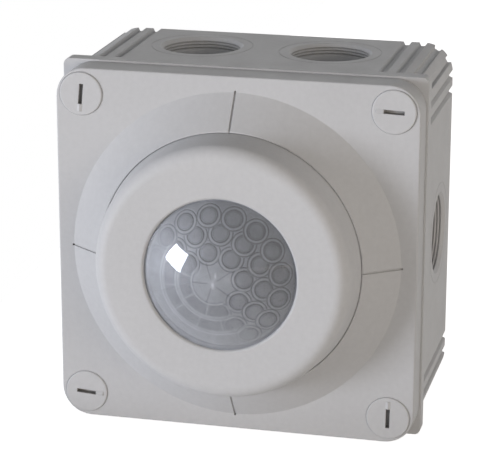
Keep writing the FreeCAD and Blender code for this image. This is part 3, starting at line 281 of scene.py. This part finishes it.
ENCLOSURE = (0.585, 0.585, 0.597)
BEZEL = scaled(ENCLOSURE, 1.06)
SCREW = scaled(ENCLOSURE, 1.02)
OUTSIDE_SHEEN = 0.2
# Strength of the painted shade in the recesses of the enclosure and the screws
OUTSIDE_PAINTED_SHADE = 0.7
MATERIALS = {
    "enclosure": moulded("enclosure_grey", ENCLOSURE, roughness=0.5, specular=OUTSIDE_SHEEN,
                         painted_shade=OUTSIDE_PAINTED_SHADE),
    "bezel": moulded("bezel_grey", BEZEL, roughness=0.5, specular=OUTSIDE_SHEEN),
    "screw": moulded("screw_grey", SCREW, roughness=0.47, edge=0.0002, specular=OUTSIDE_SHEEN,
                     painted_shade=OUTSIDE_PAINTED_SHADE),
    "foam": moulded("seal_foam", (0.03, 0.03, 0.032), roughness=0.9, variation=0.25, grain=0.0002,
                    grain_scale=900.0, edge=0.0002, specular=0.2),
    "rubber": moulded("seal_rubber", (0.02, 0.02, 0.02), roughness=0.6, variation=0.1, grain=0.00002,
                      grain_scale=1200.0, edge=0.0001),
    "housing": moulded("housing_dark", (0.045, 0.045, 0.048), roughness=0.5, variation=0.08),
    "board": moulded("board_green", (0.012, 0.085, 0.03), roughness=0.35, variation=0.35, grain=0.00003,
                     grain_scale=500.0, edge=0.0001, patch_scale=220.0),
    "nylon": moulded("spacer_nylon", (0.72, 0.7, 0.62), roughness=0.5),
    "steel": moulded("zinc_steel", (0.6, 0.6, 0.58), roughness=0.3, variation=0.08, metallic=1.0,
                     edge=0.00015, patch_scale=200.0),
    "can": moulded("plated_can", (0.62, 0.6, 0.55), roughness=0.25, variation=0.05, metallic=1.0,
                   edge=0.00015, patch_scale=200.0),
    "filter": moulded("filter_window", (0.015, 0.015, 0.02), roughness=0.12, variation=0.1, coat=0.5),
    "photocell": moulded("photocell_face", (0.5, 0.16, 0.06), roughness=0.25, variation=0.5, coat=0.6,
                         patch_scale=900.0),
    "lamp": moulded("lamp_red", (0.45, 0.02, 0.015), roughness=0.12, variation=0.05, coat=0.6),
    "relay": moulded("relay_blue", (0.02, 0.07, 0.3), roughness=0.3, variation=0.05),
    "capacitor": moulded("capacitor_black", (0.015, 0.015, 0.02), roughness=0.25, variation=0.05),
    "film": moulded("film_yellow", (0.55, 0.36, 0.03), roughness=0.35, variation=0.06),
    "surge": moulded("surge_blue", (0.03, 0.1, 0.35), roughness=0.3, variation=0.1),
    "connector": moulded("connector_black", (0.015, 0.015, 0.015), roughness=0.45, variation=0.08),
    "terminal": moulded("terminal_grey", (0.28, 0.29, 0.29), roughness=0.45, variation=0.05),
    "trimmer": moulded("trimmer_blue", (0.02, 0.09, 0.3), roughness=0.4, variation=0.05),
    "adjuster": moulded("adjuster_cream", (0.68, 0.62, 0.45), roughness=0.4, variation=0.05, edge=0.0002),
}
NODE_MATERIALS = {
    "enclosure_base": "enclosure", "lid": "enclosure", "bezel": "bezel", "lid_gasket": "foam",
    "lid_screw_top_left": "screw", "lid_screw_top_right": "screw",
    "lid_screw_bottom_left": "screw", "lid_screw_bottom_right": "screw",
    "lens_seal": "rubber", "lens_retainer": "housing", "sensor_housing": "housing",
    "housing_seal": "rubber", "housing_screws": "steel", "rear_cover": "housing",
    "sensor_board": "board", "power_board": "board", "board_spacers": "nylon",
    "board_screws": "steel", "pyro_sensor_can": "can", "pyro_filter_window": "filter",
    "pyro_leads": "can", "daylight_photocell": "photocell", "indicator_lamp": "lamp",
    "relay": "relay", "electrolytic_capacitor": "capacitor", "suppression_capacitor": "film",
    "surge_suppressor": "surge", "board_socket": "connector", "board_pins": "connector",
    "terminal_block": "terminal", "terminal_screws": "steel",
    "time_trimmer": "trimmer", "daylight_trimmer": "trimmer",
    "time_adjuster": "adjuster", "daylight_adjuster": "adjuster", "lens": "housing",
}


def finish_cad_nodes():
    for node, key in NODE_MATERIALS.items():
        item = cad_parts[node]
        item.data.materials.clear()
        item.data.materials.append(MATERIALS[key])


# --- lens

def new_object(name, vertices, faces, material, smooth=True):
    mesh = bpy.data.meshes.new(name)
    mesh.from_pydata(vertices, [], faces)
    mesh.update()
    if smooth:
        mesh.polygons.foreach_set("use_smooth", [True] * len(mesh.polygons))
    mesh.materials.append(material)
    item = bpy.data.objects.new(name, mesh)
    bpy.context.scene.collection.objects.link(item)
    return item


def revolved(name, profile, material):
    """Closed ring of the given (radius, height) outline about the Y axis."""
    vertices = []
    faces = []
    count = len(profile)
    for step in range(SHELL_SEGMENTS):
        angle = 2 * math.pi * step / SHELL_SEGMENTS
        for radius, height in profile:
            vertices.append((radius * math.cos(angle), -height, radius * math.sin(angle)))
    for step in range(SHELL_SEGMENTS):
        here = step * count
        there = (step + 1) % SHELL_SEGMENTS * count
        for index in range(count):
            after = (index + 1) % count
            faces.append((here + index, there + index, there + after, here + after))
    item = new_object(name, vertices, faces, material)
    item.data.set_sharp_from_angle(angle=SHELL_SHARP)
    return item


def dome_arc(offset, start_radius):
    """(radius, height) points of the dome, or of a sphere inside it, from the rim to the axis."""
    radius = DOME_RADIUS - offset
    low = math.asin(start_radius / radius)
    points = []
    for step in range(SHELL_STEPS + 1):
        polar = low * (1 - step / SHELL_STEPS)
        points.append((radius * math.sin(polar), DOME_MIDDLE + radius * math.cos(polar)))
    return points


def lens_shell():
    """Clear skin of the dome."""
    material = clear_shell("lens_clear")
    outer = dome_arc(0.0, LENS_RADIUS)
    inner = dome_arc(SHELL_THICKNESS, LENS_RADIUS - SKIN_EDGE)
    outer[-1] = (AXIS_RADIUS, outer[-1][1])
    inner[-1] = (AXIS_RADIUS, inner[-1][1])
    shell = revolved("lens_skin", outer + inner[::-1], material)
    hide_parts("lens")
    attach(shell, "lid")


# Rings of lenslets: number, polar angle of their centres and first turn, in degrees
LENSLET_RINGS = ((8, 15.3, 9.8), (12, 24.8, 23.8), (16, 33.3, 7.6))
RING_EDGES = (10.6, 19.6, 28.8)
RIM_ANGLE = 41.0

# The relief is clearest at this turn, and hazy, with tiers of curved bricks, opposite it. The tone is
# darker towards this turn and outwards, painted shade, and the paler haze opposite it is partly painted
# reflection.
CLEAREST_TURN = math.radians(40.0)
CLEAR_RANGE = (-0.6, 0.25)
LEAST_CLEAR = 0.12
SHADE_DEPTH = 0.42
SHADE_RANGE = (4.0, 34.0)

# Sizes of the relief, in mm
GROOVE_DEPTH = 0.13
BULGE_HEIGHT = 0.12
CORE_RADIUS = 2.6
CORE_EDGE = 0.5
OUTER_LINE_RADIUS = 3.7
LENSLET_REACH = 4.0
NO_LENSLET = 9.0

# Lines round a lenslet's centre: radius, width and strength. The dark lines lie in the grooves and are
# partly painted shade there.
DARK_LINES = ((CORE_RADIUS, 0.2, 0.85), (OUTER_LINE_RADIUS, 0.17, 0.7), (2.1, 0.14, 0.3))
PALE_LINES = ((3.15, 0.15, 0.2), (LENSLET_REACH, 0.12, 0.3))

# Tones of a lenslet's field and core, and of the tiers and their bricks from the middle outwards
FIELD_TONE = 0.12
CORE_TONE = 0.12
TIER_TONES = np.array((0.12, 0.15, 0.15, 0.26))
BRICK_TONES = np.array((0.0, 0.42, 0.36, 0.16))
BRICK_SIDE = (0.1, 0.45)
BRICK_INSIDE = (0.02, 0.12)
BRICK_OUTSIDE = (0.66, 0.86)
LEDGE_TONE = 0.25
LEDGE_RANGE = (0.7, 0.9)
SKIRT_TONE = 0.6

# Lines on each side of a ring's edge: distance from it, width and strength
EDGE_PALE_LINE = (0.2, 0.22, 0.35)
EDGE_DARK_LINE = (-0.3, 0.25, 0.3)

# Wedges round the middle: number, range of polar angles where they fade in, line width and strength
WEDGE_COUNT = 5
WEDGE_FADE = (1.5, 3.5)
WEDGE_LINE = (0.2, 0.4)

# Painted highlights near the middle, pale glints and spots: x, z, half width, half height and strength
PAINTED_HIGHLIGHTS = ((0.8, 2.4, 0.3, 0.8, 0.9), (0.0, -0.4, 0.4, 1.0, 0.9), (4.6, 1.6, 1.5, 1.7, 0.3),
              (-0.2, 0.6, 2.4, 3.2, 0.2))


def line_at(distance, middle, width):
    """Soft line, 1 in its middle."""
    return np.exp(-((distance - middle) / width) ** 2)


def lines_at(distance, lines):
    """Soft lines of the given place, width and strength, added up."""
    return sum(strength * line_at(distance, middle, width) for middle, width, strength in lines)


def ramp(value, low, high):
    """Smooth step from 0 at low to 1 at high."""
    part = np.clip((value - low) / (high - low), 0, 1)
    return part * part * (3 - 2 * part)


def lenslet_relief(polar, turn):
    """Height in mm and tone (0 dark, 0.5 plain, 1 pale) of the dome at the given angles."""
    dome_radius = DOME_RADIUS / MM
    degrees = np.degrees(polar)
    ring = np.digitize(degrees, RING_EDGES)
    distance = np.full_like(polar, NO_LENSLET)
    border = np.full_like(polar, NO_LENSLET)
    for index, (count, middle, first) in enumerate(LENSLET_RINGS):
        step = 2 * math.pi / count
        start = math.radians(first)
        aside = np.abs(turn - start - np.round((turn - start) / step) * step)
        cosine = (np.cos(polar) * math.cos(math.radians(middle))
                  + np.sin(polar) * math.sin(math.radians(middle)) * np.cos(aside))
        reach = np.arccos(np.clip(cosine, -1, 1)) * dome_radius
        # An outer ring's lenslets lie over those of the ring inside it
        distance = np.where(reach < LENSLET_REACH, reach, distance)
        border = np.where(ring == index + 1, (step / 2 - aside) * dome_radius * np.sin(polar), border)
    lenslets = ring > 0
    facing = np.cos(turn - CLEAREST_TURN)
    clear = ramp(facing, *CLEAR_RANGE) * (1 - LEAST_CLEAR) + LEAST_CLEAR
    hazy = 1 - clear
    cores = 1 - ramp(distance, CORE_RADIUS - CORE_EDGE, CORE_RADIUS)
    # Painted shade: darker towards the clearest turn and towards the rim
    shadow = SHADE_DEPTH * ramp(facing * degrees, *SHADE_RANGE)
    edges = np.array((0.0, *RING_EDGES, RIM_ANGLE))
    outward = (degrees - edges[ring]) / (edges[ring + 1] - edges[ring])
    bricks = ramp(border, *BRICK_SIDE) * ramp(outward, *BRICK_INSIDE) * (1 - ramp(outward, *BRICK_OUTSIDE))
    dark = (clear * (lines_at(distance, DARK_LINES) + FIELD_TONE * lenslets + CORE_TONE * cores) + shadow
            + hazy * BRICK_TONES[ring] * bricks)
    pale = (clear * lines_at(distance, PALE_LINES)
            + hazy * (TIER_TONES[ring] + LEDGE_TONE * lenslets * ramp(outward, *LEDGE_RANGE)))
    for edge in RING_EDGES:
        across = (degrees - edge) * math.radians(dome_radius)
        pale += hazy * lines_at(across, (EDGE_PALE_LINE,))
        dark += hazy * lines_at(across, (EDGE_DARK_LINE,))
    flat_radius = dome_radius * np.sin(polar)
    wedge = 2 * math.pi / WEDGE_COUNT
    wedge_width, wedge_strength = WEDGE_LINE
    aside = np.abs((turn % wedge) - wedge / 2) * flat_radius
    inner = ~lenslets * ramp(degrees, *WEDGE_FADE)
    dark += inner * wedge_strength * line_at(aside, 0, wedge_width)
    x = flat_radius * np.cos(turn)
    z = flat_radius * np.sin(turn)
    # Painted highlights near the middle of the lens
    for mark_x, mark_z, wide, high, strength in PAINTED_HIGHLIGHTS:
        pale += strength * line_at(x, mark_x, wide) * line_at(z, mark_z, high)
    # The grooves are cut where the tone is dark, so the dark tone is partly painted shade in them
    height = (BULGE_HEIGHT * clear * np.clip(1 - (distance / OUTER_LINE_RADIUS) ** 2, 0, 1)
              - GROOVE_DEPTH * np.clip(dark, 0, 1))
    tone = np.clip(0.5 - 0.5 * dark + 0.5 * pale, 0, 1)
    return height, tone


MILKY_DARK = (0.045, 0.046, 0.052)
MILKY_PLAIN = (0.26, 0.267, 0.285)
MILKY_PALE = (0.54, 0.55, 0.57)
MILKY_SHEEN = 0.35
MILKY_ROUGHNESS = (0.4, 0.5)
MILKY_ROUGHNESS_SCALE = 180.0
CLOUD_SCALE = 260.0
CLOUD_TONE = 0.06


def milky_plastic(name, dark, plain, pale):
    """Cloudy lens plastic, toned as its mesh says."""
    material, tree = new_nodes(name)
    where = add(tree, "ShaderNodeTexCoord").outputs["Object"]
    tone = add(tree, "ShaderNodeAttribute", attribute_name="tone").outputs["Fac"]
    cloud = spread(tree, noise(tree, where, CLOUD_SCALE, detail=3.0, roughness=0.6),
                   -CLOUD_TONE, CLOUD_TONE)
    colours = add(tree, "ShaderNodeValToRGB")
    stops = colours.color_ramp.elements
    stops[0].color = (*dark, 1)
    stops[1].color = (*pale, 1)
    stops.new(0.5).color = (*plain, 1)
    tree.links.new(calculate(tree, "ADD", tone, cloud), colours.inputs["Fac"])
    rough = spread(tree, noise(tree, where, MILKY_ROUGHNESS_SCALE), *MILKY_ROUGHNESS)
    shader = add(tree, "ShaderNodeBsdfPrincipled")
    set_input(shader, "Specular IOR Level", MILKY_SHEEN)
    tree.links.new(colours.outputs["Color"], shader.inputs["Base Color"])
    tree.links.new(rough, shader.inputs["Roughness"])
    output = add(tree, "ShaderNodeOutputMaterial")
    tree.links.new(shader.outputs["BSDF"], output.inputs["Surface"])
    return material


def lens_facets():
    """The lens body under the clear skin: a dome of moulded lenslets with a skirt and a flange."""
    material = milky_plastic("lens_milky", MILKY_DARK, MILKY_PLAIN, MILKY_PALE)
    top = DOME_RADIUS - FACET_TOP_GAP
    rim = math.asin((LENS_RADIUS - SKIN_EDGE - FACET_SIDE_GAP) / top)
    rows, columns = FACET_ROWS, FACET_COLUMNS
    polar = np.linspace(FACET_FIRST_POLAR, rim, rows)
    turn = np.linspace(0, 2 * math.pi, columns, endpoint=False)
    grid_polar, grid_turn = np.meshgrid(polar, turn, indexing="ij")
    height, tone = lenslet_relief(grid_polar, grid_turn)
    radius = top - (BULGE_HEIGHT - height) * MM
    front = np.stack((radius * np.sin(grid_polar) * np.cos(grid_turn),
                      -(DOME_MIDDLE + radius * np.cos(grid_polar)),
                      radius * np.sin(grid_polar) * np.sin(grid_turn)), axis=-1).reshape(-1, 3)
    shoulder = LENS_BASE - SKIN_EDGE
    foot = LENS_BASE - LENS_SKIRT
    outline = ((top * math.sin(rim), shoulder), (LENS_RADIUS, shoulder),
               (LENS_RADIUS, foot + FLANGE_THICKNESS), (FLANGE_RADIUS, foot + FLANGE_THICKNESS),
               (FLANGE_RADIUS, foot), (LENS_RADIUS - SKIRT_WALL, foot),
               (LENS_RADIUS - SKIRT_WALL, shoulder - SKIRT_WALL))
    skirt = [np.stack((radius * np.cos(turn), np.full(columns, -height), radius * np.sin(turn)), axis=-1)
             for radius, height in outline]
    column = np.arange(columns)
    following = (column + 1) % columns
    faces = [tuple(column.tolist())]
    last = rows + len(outline) - 1
    for row in range(last):
        low, high = row * columns, (row + 1) * columns
        faces += np.stack((low + column, high + column, high + following, low + following),
                          axis=-1).tolist()
    faces.append(tuple((last * columns + column[::-1]).tolist()))
    item = new_object("lens_facets", np.concatenate((front, *skirt)).tolist(), faces, material)
    item.data.set_sharp_from_angle(angle=FACET_SHARP)
    layer = item.data.attributes.new("tone", "FLOAT", "POINT")
    skirt_tone = np.full(len(outline) * columns, SKIRT_TONE)
    layer.data.foreach_set("value", np.concatenate((tone.ravel(), skirt_tone)))
    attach(item, "lid")


# --- floor, world and lights

FLOOR_COLOUR = (0.86, 0.86, 0.86, 1)
FLOOR_GLOW = 0.86
# The lamps' light on the floor makes up the rest of white in a reflection
FLOOR_GLOSSY_SHARE = 0.55
FLOOR_REACH = 3.0
# The floor ends close to the object on the left, where it would hide the softbox's lower half
FLOOR_LEFT = -0.11

WHITE = (1, 1, 1, 1)
# Strength of the world at the horizon and straight up
WORLD_LIGHT = 0.52
ZENITH_LIGHT = 0.06

KEY_POWER = 46.0
KEY_COLOUR = (0.95, 0.98, 1.06)
KEY_DISTANCE = 2.6
KEY_SIDE = 0.9
KEY_CORNER = math.radians(45)
KEY_ROLL = math.radians(18)
KEY_TILT = math.radians(32)
KEY_DIRECTION = Vector((-0.793, -0.609, 0.018))
KEY_TARGET = Vector((-0.010, -0.082, 0.005))

FILL_DISTANCE = 1.5
FILL_TARGET = Vector((0, -0.06, 0))
# Direction, side, power and colour of each fill light
FILLS = {
    "fill_right": ((0.7, -0.71, 0.02), 0.9, 9.8, (1.0, 0.88, 0.73)),
    "fill_back": ((-0.2, 1.0, 0.05), 0.5, 9.0, (1.0, 0.98, 0.95)),
}


def background_rays(tree, glossy_share=1.0):
    """1 for camera and transmission rays, which see a white background, and a share for glossy rays."""
    path = add(tree, "ShaderNodeLightPath")
    seen = calculate(tree, "MAXIMUM", path.outputs["Is Camera Ray"], path.outputs["Is Transmission Ray"])
    glossy = calculate(tree, "MULTIPLY", path.outputs["Is Glossy Ray"], glossy_share)
    return calculate(tree, "MAXIMUM", seen, glossy)


def make_floor():
    material, tree = new_nodes("floor_pale")
    diffuse = add(tree, "ShaderNodeBsdfDiffuse")
    set_input(diffuse, "Color", FLOOR_COLOUR)
    glow = add(tree, "ShaderNodeEmission")
    set_input(glow, "Strength", FLOOR_GLOW)
    nothing = add(tree, "ShaderNodeEmission")
    set_input(nothing, "Strength", 0.0)
    switch = add(tree, "ShaderNodeMixShader")
    tree.links.new(background_rays(tree, FLOOR_GLOSSY_SHARE), switch.inputs["Fac"])
    tree.links.new(nothing.outputs[0], switch.inputs[1])
    tree.links.new(glow.outputs[0], switch.inputs[2])
    total = add(tree, "ShaderNodeAddShader")
    tree.links.new(diffuse.outputs[0], total.inputs[0])
    tree.links.new(switch.outputs[0], total.inputs[1])
    output = add(tree, "ShaderNodeOutputMaterial")
    tree.links.new(total.outputs[0], output.inputs["Surface"])
    corners = [(FLOOR_LEFT, -FLOOR_REACH, FLOOR_Z), (FLOOR_REACH, -FLOOR_REACH, FLOOR_Z),
               (FLOOR_REACH, FLOOR_REACH, FLOOR_Z), (FLOOR_LEFT, FLOOR_REACH, FLOOR_Z)]
    floor = new_object("floor", corners, [(0, 1, 2, 3)], material, smooth=False)


def make_world():
    world = bpy.data.worlds.new("studio")
    bpy.context.scene.world = world
    world.use_nodes = True
    tree = world.node_tree
    tree.nodes.clear()
    light = add(tree, "ShaderNodeBackground")
    set_input(light, "Color", WHITE)
    where = add(tree, "ShaderNodeTexCoord").outputs["Generated"]
    parts = add(tree, "ShaderNodeSeparateXYZ")
    tree.links.new(where, parts.inputs["Vector"])
    strength = spread(tree, parts.outputs["Z"], WORLD_LIGHT, ZENITH_LIGHT, start=0.0, end=1.0)
    tree.links.new(strength, light.inputs["Strength"])
    white = add(tree, "ShaderNodeBackground")
    set_input(white, "Color", WHITE)
    set_input(white, "Strength", 1.0)
    mix = add(tree, "ShaderNodeMixShader")
    tree.links.new(background_rays(tree), mix.inputs["Fac"])
    tree.links.new(light.outputs[0], mix.inputs[1])
    tree.links.new(white.outputs[0], mix.inputs[2])
    output = add(tree, "ShaderNodeOutputWorld")
    tree.links.new(mix.outputs[0], output.inputs["Surface"])


def make_key():
    """Square softbox that stands on one corner, to the left."""
    data = bpy.data.lights.new("softbox", "AREA")
    data.shape = "SQUARE"
    data.size = KEY_SIDE
    data.energy = KEY_POWER
    data.color = KEY_COLOUR
    light = bpy.data.objects.new("softbox", data)
    direction = KEY_DIRECTION.normalized()
    side = Vector((0, 0, 1)).cross(direction).normalized()
    up = direction.cross(side)
    place = Matrix((side, up, direction)).transposed().to_4x4()
    place = place @ Matrix.Rotation(KEY_ROLL, 4, "Z") @ Matrix.Rotation(KEY_TILT, 4, "X")
    place = place @ Matrix.Rotation(KEY_CORNER, 4, "Z")
    place.translation = KEY_TARGET + direction * KEY_DISTANCE
    light.matrix_world = place
    bpy.context.scene.collection.objects.link(light)


def make_fill(name, direction, side, power, colour):
    """Weak light, as off a wall, that doesn't show as a reflection."""
    data = bpy.data.lights.new(name, "AREA")
    data.size = side
    data.energy = power
    data.color = colour
    light = bpy.data.objects.new(name, data)
    direction = Vector(direction).normalized()
    light.rotation_euler = direction.to_track_quat("Z", "Y").to_euler()
    light.location = FILL_TARGET + direction * FILL_DISTANCE
    light.visible_glossy = False
    light.visible_transmission = False
    bpy.context.scene.collection.objects.link(light)


make_camera()
finish_cad_nodes()
lens_shell()
lens_facets()
make_floor()
make_world()
make_key()
for fill_name, fill in FILLS.items():
    make_fill(fill_name, *fill)
bpy.context.scene.view_settings.view_transform = "Standard"
